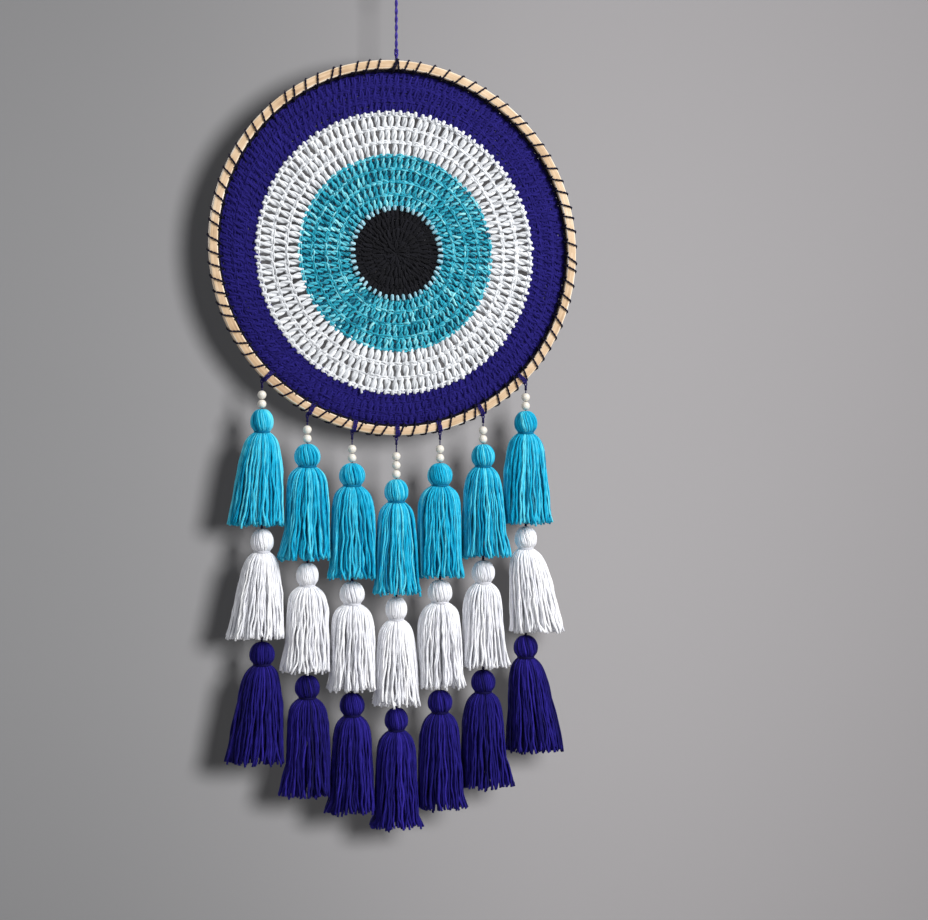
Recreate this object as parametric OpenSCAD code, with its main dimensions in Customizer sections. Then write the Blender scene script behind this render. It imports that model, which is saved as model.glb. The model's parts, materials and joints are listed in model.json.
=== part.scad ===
// Evil eye wall hanging: a crocheted eye laced into a wooden hoop, with seven columns of
// pearls and yarn tassels. Millimetres, +Z up, the front faces -Y.
// The origin is the centre of the eye that goes over the nail.

/* [Hoop] */
// Outside diameter of the wooden hoop
hoop_od = 300; // [285:5:360]
// Width of the hoop's face
hoop_w = 7; // [5:0.5:9]
// Depth of the hoop from front to back
hoop_depth = 8; // [6:0.5:12]
// Bevel along the hoop's four edges
hoop_bevel = 1; // [0.5:0.25:1.5]

/* [Crochet] */
// Thickness of the crocheted cloth
cloth_t = 4; // [3:0.5:5]
// Radius of the black pupil
pupil_r = 37; // [30:1:45]
// Radius over the turquoise ring
turquoise_r = 78; // [65:1:94]
// Radius over the white ring
white_r = 111; // [100:1:122]
// How far the eye sits below the middle of the hoop
eye_drop = 4; // [0:1:6]
// Gap between the cloth's edge and the inside of the hoop
rim_gap = 1.9; // [1.9:0.1:3]

/* [Lashing] */
// Turns of thread round the whole hoop
lash_turns = 86; // [60:2:100]
// Width of one turn
lash_w = 1.2; // [0.8:0.1:1.6]
// Thickness of one turn
lash_t = 0.6; // [0.4:0.1:0.9]
// Width of the cloth's edge that each turn holds
lash_grip = 2; // [1.5:0.25:3]

/* [Hanging cord] */
// Height of the eye above the top of the hoop
hang_h = 75; // [60:5:150]
// Diameter of the hanging cord
cord_d = 2.6; // [2:0.1:3.2]
// Radius of the bore that goes over the nail
eye_r = 6; // [4:0.5:8]
// Length of the eye's bore
eye_len = 2.4; // [2:0.2:4]
// Diameter of the knots under the eye and above the cord
cord_knot_d = 6.4; // [6:0.2:8]
// Depth of the cord's end in its knot
cord_seat = 3.2; // [2:0.1:3.4]
// Radius of the cord's linking loops, to the middle of the yarn
cord_link_r = 2.2; // [2:0.1:4]
// Yarn diameter of the cord's linking loops
cord_link_d = 1.3; // [1.1:0.1:1.6]

/* [Columns] */
// Number of columns
columns = 7; // [5:2:7]
// Distance between two columns
pitch = 36; // [30:1:44]
// Pearls on each column, from the middle column outwards
pearl_counts = [3, 2, 2, 2];
// Free thread above the pearls, from the middle column outwards
free_threads = [6, 4.5, 3, 2.5];
// Diameter of a pearl
pearl_d = 7; // [5:0.5:9]
// Diameter of the thread
thread_d = 1; // [0.8:0.1:1.3]
// Radius of the thread's linking loops, to the middle of the thread
link_r = 1.8; // [1.8:0.1:2.4]
// Width of the yarn wrap that holds a column on the hoop
wrap_w = 4; // [3:0.5:5]

/* [Tassels] */
// Lengths of the cyan, white and dark blue tassels
tassel_lengths = [91, 85.5, 94];
// Diameter of a tassel's head
head_d = 21; // [18:1:25]
// Diameter of a tassel's neck
neck_d = 14.5; // [12:0.5:16]
// Height of the binding round the neck
binding_h = 3.2; // [2:0.2:5]
// Thickness of the binding
binding_t = 1.4; // [0.8:0.1:2]
// Height over which a skirt spreads out below the neck
flare_h = 26; // [18:1:40]
// Radius of the room for the thread inside a skirt
skirt_hole_r = 4.4; // [4:0.1:5]
// Diameter of the stopper knot under a tassel's head
stopper_d = 4.8; // [4:0.2:6]

/* [Clearances] */
// Gap round yarn that wraps or goes through another piece
yarn_fit = 0.1; // [0.05:0.05:0.2]
// Radial running clearance of a pearl on its thread, and of the cord in its knot
running_fit = 0.05; // [0.02:0.01:0.1]
// Gap between two linked loops
link_gap = 0.25; // [0.2:0.05:0.4]
// Gap between two pearls, and between a pearl and what it rests on
pearl_gap = 0.2; // [0.1:0.05:0.4]
// Gap between a tassel's head and the loop above it
head_gap = 0.4; // [0.2:0.1:1]
// Gap between the skirts of two neighbouring columns
skirt_gap = 0.6; // [0.4:0.1:3]

/* [Hidden] */
$fn = 64;

TIERS = ["cyan", "white", "navy"];
TIER_COLORS = ["deepskyblue", "white", "midnightblue"];
COLUMN_LIST = [for (k = [1 : columns]) k];

// The hoop and the cloth inside it
hoop_r = hoop_od / 2;
hoop_ir = hoop_r - hoop_w;
hoop_z = -hang_h - hoop_r;
blue_r = hoop_ir - rim_gap;
lash_leg_r = blue_r - lash_grip - yarn_fit;
// An angle that spans a given width at the hoop's outside
function arc_angle(width) = width / hoop_r * 180 / PI;
// The thickness of a wrap round the hoop that hides a loop's own yarn
function wrap_t(yarn_d) = yarn_d + 0.3;

// How far a hooked loop's middle hangs below the middle of the yarn that it hangs on
function hook_drop(r, yarn_d) = r - yarn_d - link_gap;

// The hanging cord, from the top down
knot_r = cord_knot_d / 2;
eye_out = eye_len / 2;
eye_knot_z = -(eye_r + 2 * eye_out) - knot_r + eye_out;
sway_ring_z = eye_knot_z - knot_r + cord_link_d / 2 - cord_link_r;
sway_z = sway_ring_z - cord_link_r;
knot_ring_z = sway_z - hook_drop(cord_link_r, cord_link_d);
cord_knot_z = knot_ring_z - cord_link_r + cord_link_d / 2 - knot_r;
seat_z = cord_knot_z - knot_r + cord_seat;
hitch_wrap_t = wrap_t(cord_link_d);
hitch_ring_z = -hang_h + yarn_fit + hitch_wrap_t / 2 + cord_link_r;
tilt_z = hitch_ring_z + hook_drop(cord_link_r, cord_link_d);
tilt_ring_z = tilt_z + cord_link_r;

// The columns
middle = (columns + 1) / 2;
thread_r = thread_d / 2;
column_wrap_t = wrap_t(thread_d);
wrap_link_r = hoop_r + yarn_fit + column_wrap_t / 2 + link_r;
loop_drop = hook_drop(link_r, thread_d) + link_r + thread_r;
pearl_pitch = pearl_d + pearl_gap;
function rank(k) = abs(k - middle);
function column_x(k) = (k - middle) * pitch;
function wrap_ring_z(k) = hoop_z - sqrt(pow(wrap_link_r, 2) - pow(column_x(k), 2));
function wrap_angle(k) = -acos(column_x(k) / wrap_link_r);
function swing_z(k) = wrap_ring_z(k) - link_r;
function pearls_h(k) = pearl_counts[rank(k)] * pearl_pitch;
function column_top(k) = swing_z(k) - loop_drop - free_threads[rank(k)] - pearls_h(k);

// The tassels
skirt_r = (pitch - skirt_gap) / 2;
head_r = head_d / 2;
neck_r = neck_d / 2;
neck_top = head_r + sqrt(pow(head_r, 2) - pow(neck_r, 2));
neck_end = neck_top + binding_h + 2 * yarn_fit;
tier_gap = loop_drop + head_gap;
function tier_drop(tier) = tier == 0 ? 0 : tier_drop(tier - 1) + tassel_lengths[tier - 1] + tier_gap;
function tier_z(k, tier) = column_top(k) - tier_drop(tier);

// Directions at which the lashing would meet a wrap, and the turns that stay clear of them
TAKEN = concat([90], [for (k = COLUMN_LIST) wrap_angle(k) + 360]);
lash_clear = arc_angle((wrap_w + lash_w) / 2 + 2 * yarn_fit);
LASH_ANGLES = [
    for (i = [0 : lash_turns - 1])
        let (a = 90 + (i + 0.5) * 360 / lash_turns, near = [for (t = TAKEN) abs((a - t + 540) % 360 - 180)])
            if (min(near) > lash_clear) a
];

// A loop of yarn whose middle line is a circle round the Z axis
module loop(r, yarn_d) {
    rotate_extrude() translate([r, 0]) circle(d = yarn_d);
}

// A loop that lies in the front plane
module front_loop(r, yarn_d) {
    rotate([90, 0, 0]) loop(r, yarn_d);
}

// A loop that stands edge-on to the front
module side_loop(r, yarn_d) {
    rotate([0, 90, 0]) loop(r, yarn_d);
}

// Puts a shape that turns about Z round the hoop's own axis, angles counted from +X towards +Z
module on_hoop() {
    translate([0, 0, hoop_z]) rotate([90, 0, 0]) children();
}

// A flat band that goes once round a section of the hoop
module band(width, thickness, inner_r) {
    angle = arc_angle(width);
    depth = hoop_depth + 2 * yarn_fit;
    outer_r = hoop_r + yarn_fit;
    rotate_extrude(angle = angle, start = -angle / 2, $fn = 360)
        difference() {
            translate([inner_r - thickness, -depth / 2 - thickness])
                square([outer_r - inner_r + 2 * thickness, depth + 2 * thickness]);
            translate([inner_r, -depth / 2]) square([outer_r - inner_r, depth]);
        }
}

// The wooden hoop
module hoop() {
    half = hoop_depth / 2;
    b = hoop_bevel;
    color("burlywood")
        on_hoop()
            rotate_extrude($fn = 180)
                polygon([
                    [hoop_ir + b, -half],
                    [hoop_r - b, -half],
                    [hoop_r, -half + b],
                    [hoop_r, half - b],
                    [hoop_r - b, half],
                    [hoop_ir + b, half],
                    [hoop_ir, half - b],
                    [hoop_ir, -half + b]
                ]);
}

// A round of cloth with the eye's own centre
module eye_disc(r, thickness) {
    translate([0, 0, hoop_z - eye_drop])
        rotate([90, 0, 0]) cylinder(r = r, h = thickness, center = true, $fn = 180);
}

module cloth_ring(outer_r, inner_r) {
    difference() {
        eye_disc(outer_r, cloth_t);
        eye_disc(inner_r, cloth_t + 2);
    }
}

module pupil() {
    color("black") eye_disc(pupil_r, cloth_t);
}

module turquoise_ring() {
    color("turquoise") cloth_ring(turquoise_r, pupil_r);
}

module white_ring() {
    color("whitesmoke") cloth_ring(white_r, turquoise_r);
}

// The blue cloth fills the hoop and has a slot for each turn of the lashing
module blue_ring() {
    slot_angle = arc_angle(lash_w + 2 * yarn_fit);
    slot_r = lash_leg_r - lash_t - yarn_fit;
    color("midnightblue")
        difference() {
            on_hoop() cylinder(r = blue_r, h = cloth_t, center = true, $fn = 180);
            eye_disc(white_r, cloth_t + 2);
            on_hoop()
                for (a = LASH_ANGLES)
                    rotate([0, 0, a])
                        rotate_extrude(angle = slot_angle, start = -slot_angle / 2, $fn = 360)
                            translate([slot_r, -cloth_t])
                                square([lash_t + 2 * yarn_fit, 2 * cloth_t]);
        }
}

// The turns of thread that hold the cloth's edge against the hoop
module lashing() {
    color("black")
        on_hoop()
            for (a = LASH_ANGLES)
                rotate([0, 0, a]) band(lash_w, lash_t, lash_leg_r);
}

// The wraps that carry the columns, each with a loop below the hoop
module column_wraps() {
    color("navy") {
        for (k = COLUMN_LIST) {
            on_hoop() rotate([0, 0, wrap_angle(k)]) band(wrap_w, column_wrap_t, hoop_ir - yarn_fit);
            translate([column_x(k), 0, wrap_ring_z(k)]) front_loop(link_r, thread_d);
        }
    }
}

// The eye that goes over the nail, with its knot and the loop that the cord hangs in
module hanging_eye() {
    color("slateblue") {
        rotate([90, 0, 0])
            rotate_extrude() {
                translate([eye_r, -eye_out]) square([eye_out, eye_len]);
                translate([eye_r + eye_out, 0]) circle(r = eye_out);
            }
        difference() {
            translate([0, 0, eye_knot_z]) sphere(r = knot_r);
            rotate([90, 0, 0]) cylinder(r = eye_r + eye_out / 2, h = 4 * eye_len, center = true);
        }
        translate([0, 0, sway_ring_z]) side_loop(cord_link_r, cord_link_d);
    }
}

// The knot below the eye, with the loop that it hangs by and a seat for the cord's end
module cord_knot() {
    color("slateblue") {
        translate([0, 0, knot_ring_z]) front_loop(cord_link_r, cord_link_d);
        difference() {
            translate([0, 0, cord_knot_z]) sphere(r = knot_r);
            translate([0, 0, seat_z - cord_knot_d]) cylinder(r = cord_d / 2 + running_fit, h = cord_knot_d);
        }
    }
}

// The hanging cord, which turns in its knot and ends in the loop that holds the hoop
module hanging_cord() {
    bottom = tilt_ring_z + cord_link_r;
    color("slateblue") {
        translate([0, 0, bottom]) cylinder(d = cord_d, h = seat_z - yarn_fit - bottom);
        translate([0, 0, tilt_ring_z]) front_loop(cord_link_r, cord_link_d);
    }
}

// The wrap round the top of the hoop, with the loop that hangs in the cord's loop
module hoop_hitch() {
    color("slateblue") {
        on_hoop() rotate([0, 0, 90]) band(wrap_w, hitch_wrap_t, hoop_ir - yarn_fit);
        translate([0, 0, hitch_ring_z]) side_loop(cord_link_r, cord_link_d);
    }
}

// The pearls of one column, each with its bore
module pearls(k) {
    bottom = column_top(k);
    color("ivory")
        for (i = [0 : pearl_counts[rank(k)] - 1])
            translate([column_x(k), 0, bottom + i * pearl_pitch + pearl_gap + pearl_d / 2])
                difference() {
                    sphere(d = pearl_d);
                    cylinder(r = thread_r + running_fit, h = 2 * pearl_d, center = true);
                }
}

// The outline of a skirt: it leaves the neck, spreads along a quarter of a sine, then drops
function skirt_outline(length) = concat(
    [[0, -neck_end]],
    [
        for (i = [0 : 8])
            [neck_r + (skirt_r - neck_r) * sin(90 * i / 8), -neck_end - flare_h * pow(i / 8, 1.5)]
    ],
    [[skirt_r, -length], [0, -length]]
);

// A yarn tassel with the top of its head at the origin
module tassel(length) {
    difference() {
        union() {
            translate([0, 0, -head_r]) sphere(r = head_r);
            translate([0, 0, -neck_end - 1]) cylinder(r = neck_r, h = neck_end + 1 - head_r);
            rotate_extrude() polygon(skirt_outline(length));
        }
        translate([0, 0, -length]) cylinder(r = thread_r + yarn_fit, h = length);
        translate([0, 0, -length - 1]) cylinder(r = skirt_hole_r, h = length + 1 - neck_end);
    }
}

// The binding round a tassel's neck
module binding() {
    translate([0, 0, -neck_end + yarn_fit])
        difference() {
            cylinder(r = neck_r + yarn_fit + binding_t, h = binding_h);
            translate([0, 0, -1]) cylinder(r = neck_r + yarn_fit, h = binding_h + 2);
        }
}

// The thread of one tassel: the loop that it hangs by, length of thread above the head, the
// stopper knot, and a loop at the bottom where another tassel hangs below
module tie_thread(length, above, carries_next) {
    top = above;
    stopper_z = -neck_end - yarn_fit - stopper_d / 2;
    bottom = carries_next ? -length + 2 * link_r : stopper_z;
    translate([0, 0, top + link_r]) side_loop(link_r, thread_d);
    translate([0, 0, bottom]) cylinder(d = thread_d, h = top - bottom);
    translate([0, 0, stopper_z]) sphere(d = stopper_d);
    if (carries_next) translate([0, 0, -length + link_r]) front_loop(link_r, thread_d);
}

module tassel_of(k, tier) {
    color(TIER_COLORS[tier])
        translate([column_x(k), 0, tier_z(k, tier)]) tassel(tassel_lengths[tier]);
}

module tie_of(k, tier) {
    pivot = tier == 0 ? swing_z(k) : tier_z(k, tier) + tier_gap;
    above = pivot - loop_drop + thread_r - tier_z(k, tier);
    translate([column_x(k), 0, tier_z(k, tier)]) {
        color("navy") tie_thread(tassel_lengths[tier], above, tier < 2);
        color(TIER_COLORS[tier]) binding();
    }
}

hanging_eye();
cord_knot();
hanging_cord();
hoop_hitch();
hoop();
lashing();
column_wraps();
pupil();
turquoise_ring();
white_ring();
blue_ring();
for (k = COLUMN_LIST) {
    pearls(k);
    for (tier = [0 : 2]) {
        tassel_of(k, tier);
        tie_of(k, tier);
    }
}
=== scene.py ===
"""The looks of the evil eye wall hanging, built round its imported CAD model.

Metres, +Z up, the front faces -Y. Yarn is built strand by strand, as tubes that follow the
paths the real yarn takes, so stitches, tassels, wraps and knots all come from the same code.
"""

import json
import math
from dataclasses import dataclass

import bpy
import numpy as np
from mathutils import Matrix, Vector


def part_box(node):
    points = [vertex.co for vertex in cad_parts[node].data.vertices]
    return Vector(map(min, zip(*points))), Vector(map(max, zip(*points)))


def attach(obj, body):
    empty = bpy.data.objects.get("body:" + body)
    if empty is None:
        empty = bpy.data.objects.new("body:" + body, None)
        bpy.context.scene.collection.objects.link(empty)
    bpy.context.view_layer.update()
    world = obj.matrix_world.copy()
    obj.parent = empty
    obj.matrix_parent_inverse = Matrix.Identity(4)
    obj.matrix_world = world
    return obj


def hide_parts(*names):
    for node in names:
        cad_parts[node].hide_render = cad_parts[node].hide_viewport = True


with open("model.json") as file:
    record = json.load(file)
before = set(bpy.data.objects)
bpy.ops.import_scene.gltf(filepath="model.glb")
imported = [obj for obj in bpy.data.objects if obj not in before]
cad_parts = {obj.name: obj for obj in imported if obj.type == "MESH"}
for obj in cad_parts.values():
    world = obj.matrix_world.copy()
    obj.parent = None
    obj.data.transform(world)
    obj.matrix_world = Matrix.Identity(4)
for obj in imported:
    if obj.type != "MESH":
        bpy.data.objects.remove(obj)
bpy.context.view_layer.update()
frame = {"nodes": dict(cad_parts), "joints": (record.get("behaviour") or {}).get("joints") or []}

MM = 0.001
COLUMNS = range(1, 8)
TIERS = ("cyan", "white", "navy")
JOINTS = {joint["name"]: joint for joint in frame["joints"]}


# ----------------------------------------
# Places from the CAD model


BOXES = {node: tuple(np.array(corner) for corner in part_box(node)) for node in frame["nodes"]}


def corners(node):
    """A node's lowest and highest corner, as arrays."""
    return BOXES[node]


def centre(node):
    low, high = corners(node)
    return (low + high) / 2


def half_width(node):
    low, high = corners(node)
    return (high[0] - low[0]) / 2


def top(node):
    return corners(node)[1][2]


def pivot(joint):
    return np.array(JOINTS[joint]["pos_m"])


HOOP_Z = centre("hoop")[2]
HOOP_R = half_width("hoop")
HOOP_W = 7 * MM
HOOP_INNER_R = HOOP_R - HOOP_W
HOOP_HALF_DEPTH = (corners("hoop")[1][1] - corners("hoop")[0][1]) / 2
EYE_Z = centre("pupil")[2]
PUPIL_R = half_width("pupil")
TURQUOISE_R = half_width("turquoise_ring")
WHITE_R = half_width("white_ring")
BLUE_R = half_width("blue_ring")
COLUMN_X = {k: centre(f"cyan_tassel_{k}")[0] for k in COLUMNS}

# ----------------------------------------
# Meshes


@dataclass
class Part:
    """A bit of mesh: vertices, polygons as flat corners and counts, and a UV for each corner."""

    verts: np.ndarray
    corner_verts: np.ndarray
    counts: np.ndarray
    uvs: np.ndarray
    tints: np.ndarray


def unit(vectors):
    return vectors / np.maximum(np.linalg.norm(vectors, axis=-1, keepdims=True), 1e-12)


def run_length(points):
    """How far along a line each of its points is."""
    steps = np.linalg.norm(np.diff(points, axis=0), axis=1)
    return np.concatenate([[0], np.cumsum(steps)])


def frames_along(paths):
    """Two directions across each path that don't spin round it, at every point."""
    tangents = unit(np.gradient(paths, axis=1))
    across = np.empty_like(paths)
    guess = np.cross(tangents[:, 0], [0.31, 0.52, 0.79])
    across[:, 0] = unit(guess)
    for i in range(1, paths.shape[1]):
        t = tangents[:, i]
        previous = across[:, i - 1]
        across[:, i] = unit(previous - np.sum(previous * t, axis=1, keepdims=True) * t)
    return across, np.cross(tangents, across)


def tubes(paths, radii, sides=6, tints=0.5):
    """Tubes along paths (tubes, points, 3). U runs round each tube, V is its length in metres."""
    paths = np.asarray(paths, float)
    count, points = paths.shape[:2]
    radii = np.broadcast_to(np.asarray(radii, float), (count, points))
    across, up = frames_along(paths)
    turn = np.arange(sides) * 2 * np.pi / sides
    ring = (
        np.cos(turn)[None, None, :, None] * across[:, :, None]
        + np.sin(turn)[None, None, :, None] * up[:, :, None]
    )
    verts = paths[:, :, None] + radii[:, :, None, None] * ring
    index = np.arange(count * points * sides).reshape(count, points, sides)
    following = np.roll(index, -1, axis=2)
    quads = np.stack(
        [index[:, :-1], following[:, :-1], following[:, 1:], index[:, 1:]], axis=-1
    ).reshape(-1)
    steps = np.linalg.norm(np.diff(paths, axis=1), axis=2)
    length = np.concatenate([np.zeros((count, 1)), np.cumsum(steps, axis=1)], axis=1)
    u0 = np.arange(sides) / sides
    u = np.stack([u0, u0 + 1 / sides, u0 + 1 / sides, u0], axis=-1)
    u = np.broadcast_to(u, (count, points - 1, sides, 4))
    low = length[:, :-1, None]
    high = length[:, 1:, None]
    v = np.stack(
        [np.broadcast_to(x, (count, points - 1, sides)) for x in (low, low, high, high)], axis=-1
    )
    caps = np.concatenate([index[:, 0, ::-1], index[:, -1]], axis=0)
    cap_u = np.broadcast_to(u0, caps.shape)
    cap_v = np.concatenate([length[:, 0], length[:, -1]])[:, None] + 0 * cap_u
    corner_verts = np.concatenate([quads, caps.reshape(-1)])
    counts = np.concatenate([np.full(len(quads) // 4, 4), np.full(len(caps), sides)])
    uvs = np.concatenate(
        [np.stack([u, v], axis=-1).reshape(-1, 2), np.stack([cap_u, cap_v], axis=-1).reshape(-1, 2)]
    )
    tints = np.broadcast_to(np.asarray(tints, float).reshape(-1, 1, 1), (count, points, sides))
    return Part(verts.reshape(-1, 3), corner_verts, counts, uvs, tints.reshape(-1))


def grid(points, u, v, close_rows=False, close_columns=False, tint=0.5):
    """A surface through points (rows, columns, 3), with u for each column and v for each row."""
    rows, columns = points.shape[:2]
    index = np.arange(rows * columns).reshape(rows, columns)
    if close_rows:
        index = np.concatenate([index, index[:1]])
    if close_columns:
        index = np.concatenate([index, index[:, :1]], axis=1)
    corner_verts = np.stack(
        [index[:-1, :-1], index[:-1, 1:], index[1:, 1:], index[1:, :-1]], axis=-1
    )
    uu, vv = np.meshgrid(u, v)
    uv = np.stack([uu, vv], axis=-1)
    uvs = np.stack([uv[:-1, :-1], uv[:-1, 1:], uv[1:, 1:], uv[1:, :-1]], axis=-2)
    quads = corner_verts.reshape(-1)
    return Part(
        points.reshape(-1, 3),
        quads,
        np.full(len(quads) // 4, 4),
        uvs.reshape(-1, 2),
        np.full(rows * columns, tint),
    )


def lathe(profile, middle, segments=40, tint=0.5):
    """A surface of revolution round the vertical through middle. Profile is (radius, height)."""
    profile = np.asarray(profile, float)
    turn = np.arange(segments) * 2 * np.pi / segments
    points = np.stack(
        [
            np.outer(profile[:, 0], np.cos(turn)) + middle[0],
            np.outer(profile[:, 0], np.sin(turn)) + middle[1],
            np.outer(profile[:, 1], np.ones(segments)) + middle[2],
        ],
        axis=-1,
    )
    lengths = run_length(profile)
    return grid(points, np.arange(segments + 1) / segments, lengths, close_columns=True, tint=tint)


def piece(name, parts, material, body, replaces=()):
    """One object from several parts, which rides on a body."""
    mesh = bpy.data.meshes.new(name)
    offsets = np.cumsum([0] + [len(part.verts) for part in parts[:-1]])
    verts = np.concatenate([part.verts for part in parts])
    corner_verts = np.concatenate([part.corner_verts + o for part, o in zip(parts, offsets)])
    counts = np.concatenate([part.counts for part in parts])
    uvs = np.concatenate([part.uvs for part in parts])
    tints = np.concatenate([part.tints for part in parts])
    mesh.vertices.add(len(verts))
    mesh.vertices.foreach_set("co", verts.astype(np.float32).reshape(-1))
    mesh.loops.add(len(corner_verts))
    mesh.loops.foreach_set("vertex_index", corner_verts.astype(np.int32))
    mesh.polygons.add(len(counts))
    starts = np.concatenate([[0], np.cumsum(counts)[:-1]])
    mesh.polygons.foreach_set("loop_start", starts.astype(np.int32))
    mesh.polygons.foreach_set("use_smooth", np.ones(len(counts), bool))
    mesh.update(calc_edges=True)
    mesh.uv_layers.new(name="UVMap").data.foreach_set("uv", uvs.astype(np.float32).reshape(-1))
    tint = mesh.attributes.new("tint", "FLOAT", "POINT")
    tint.data.foreach_set("value", tints.astype(np.float32))
    mesh.materials.append(material)
    mesh.validate()
    obj = bpy.data.objects.new(name, mesh)
    bpy.context.scene.collection.objects.link(obj)
    if body:
        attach(obj, body)
    if replaces:
        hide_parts(*replaces)
    return obj


# ----------------------------------------
# Materials


class Nodes:
    """A material's node tree, with short ways to add to it."""

    def __init__(self, name):
        self.material = bpy.data.materials.new(name)
        self.material.use_nodes = True
        self.tree = self.material.node_tree
        self.tree.nodes.clear()
        self.output = self.tree.nodes.new("ShaderNodeOutputMaterial")
        self.shader = self.tree.nodes.new("ShaderNodeBsdfPrincipled")
        self.link(self.shader.outputs[0], self.output.inputs["Surface"])

    def new(self, kind, **settings):
        node = self.tree.nodes.new(kind)
        for key, value in settings.items():
            setattr(node, key, value)
        return node

    def link(self, source, target):
        self.tree.links.new(source, target)

    def put(self, value, socket):
        """Links a socket, or sets a number."""
        if isinstance(value, bpy.types.NodeSocket):
            self.link(value, socket)
        else:
            socket.default_value = value

    def math(self, operation, a, b=0.0, c=0.0):
        node = self.new("ShaderNodeMath", operation=operation)
        for value, socket in zip((a, b, c), node.inputs):
            self.put(value, socket)
        return node.outputs[0]

    def shift(self, tone, mask, amount):
        """Moves a tone up or down by a mask whose middle is 0.5."""
        return self.math("MULTIPLY_ADD", self.math("SUBTRACT", mask, 0.5), amount, tone)

    def uv(self):
        """U and V as two sockets."""
        split = self.new("ShaderNodeSeparateXYZ")
        self.link(self.new("ShaderNodeUVMap", uv_map="UVMap").outputs[0], split.inputs[0])
        return split.outputs[0], split.outputs[1]

    def tint(self):
        return self.new("ShaderNodeAttribute", attribute_name="tint").outputs["Fac"]

    def point(self, x, y, z):
        join = self.new("ShaderNodeCombineXYZ")
        for value, socket in zip((x, y, z), join.inputs):
            self.put(value, socket)
        return join.outputs[0]

    def noise(self, where, scale, detail=3.0, roughness=0.6):
        node = self.new("ShaderNodeTexNoise")
        self.link(where, node.inputs["Vector"])
        node.inputs["Scale"].default_value = scale
        node.inputs["Detail"].default_value = detail
        node.inputs["Roughness"].default_value = roughness
        return node.outputs["Fac"]

    def place(self):
        """The object's own coordinates, in metres."""
        return self.new("ShaderNodeTexCoord").outputs["Object"]

    def ramp(self, value, stops):
        node = self.new("ShaderNodeValToRGB")
        elements = node.color_ramp.elements
        while len(elements) < len(stops):
            elements.new(0.5)
        for element, (position, colour) in zip(elements, stops):
            element.position = position
            element.color = (*linear(colour), 1)
        self.link(value, node.inputs[0])
        return node.outputs[0]

    def bump(self, height, distance, strength=1.0):
        node = self.new("ShaderNodeBump")
        node.inputs["Strength"].default_value = strength
        node.inputs["Distance"].default_value = distance
        self.link(height, node.inputs["Height"])
        self.link(node.outputs[0], self.shader.inputs["Normal"])

    def set(self, **values):
        for key, value in values.items():
            self.put(value, self.shader.inputs[key.replace("_", " ")])


def linear(colour):
    """An sRGB colour of 0 to 255 as linear numbers."""
    c = np.array(colour, float) / 255
    return tuple(np.where(c <= 0.04045, c / 12.92, ((c + 0.055) / 1.055) ** 2.4))


def yarn(name, shade, middle, light, plies=4, pitch=9 * MM, sheen=0.35, relief=0.35 * MM):
    """Plied yarn: slanting plies with fine fibres along them, and strands of uneven colour. The grooves
    between the plies are painted darker, as shade.
    """
    nodes = Nodes(name)
    u, v = nodes.uv()
    tint = nodes.tint()
    twist = nodes.math("SUBTRACT", nodes.math("MULTIPLY", u, plies), nodes.math("DIVIDE", v, pitch))
    wave = nodes.math("SINE", nodes.math("MULTIPLY", twist, 2 * math.pi))
    ply_relief_and_shade = nodes.math("MULTIPLY_ADD", wave, 0.5, 0.5)
    along = nodes.math("MULTIPLY", v, 160)
    fibre_place = nodes.point(nodes.math("MULTIPLY", twist, 7), along, nodes.math("MULTIPLY", tint, 90))
    fibres = nodes.noise(fibre_place, 1.0, 3, 0.7)
    patches = nodes.noise(nodes.place(), 160, 2)
    height = nodes.math("ADD", nodes.math("MULTIPLY", ply_relief_and_shade, 0.6), nodes.math("MULTIPLY", fibres, 0.55))
    nodes.bump(height, relief)
    # Painted shade: the tone drops in the grooves between the plies.
    tone = nodes.shift(tint, ply_relief_and_shade, 0.22)
    tone = nodes.shift(tone, fibres, 0.75)
    tone = nodes.shift(tone, patches, 0.35)
    nodes.set(
        Base_Color=nodes.ramp(tone, [(0.05, shade), (0.5, middle), (0.95, light)]),
        Roughness=0.9,
        Sheen_Weight=sheen,
        Sheen_Roughness=0.5,
    )
    nodes.shader.inputs["Specular IOR Level"].default_value = 0.2
    nodes.shader.inputs["Sheen Tint"].default_value = (*linear(light), 1)
    return nodes.material


def wood():
    """Bent bare wood: grain that runs round the hoop, with paler edges that are a painted highlight."""
    nodes = Nodes("bare_wood")
    u, v = nodes.uv()
    fine = nodes.point(nodes.math("MULTIPLY", u, 9), nodes.math("MULTIPLY", v, 900), 0)
    coarse = nodes.point(nodes.math("MULTIPLY", u, 22), nodes.math("MULTIPLY", v, 60), 4)
    grain = nodes.noise(fine, 1, 4, 0.7)
    bands = nodes.noise(coarse, 1, 3)
    patches = nodes.noise(nodes.place(), 90, 3)
    tone = nodes.shift(0.5, grain, 0.9)
    tone = nodes.shift(tone, bands, 0.7)
    tone = nodes.shift(tone, patches, 0.5)
    # The tint paints the hoop's bevelled edges paler, as a highlight.
    tone = nodes.shift(tone, nodes.tint(), 0.7)
    colour = nodes.ramp(
        tone,
        [
            (0.05, (146, 112, 84)),
            (0.35, (196, 165, 128)),
            (0.55, (216, 187, 153)),
            (0.75, (232, 214, 188)),
            (0.95, (244, 236, 226)),
        ],
    )
    nodes.set(Base_Color=colour, Roughness=nodes.math("MULTIPLY_ADD", grain, 0.3, 0.45))
    nodes.bump(nodes.math("ADD", grain, nodes.math("MULTIPLY", bands, 0.5)), 0.12 * MM)
    return nodes.material


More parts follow.
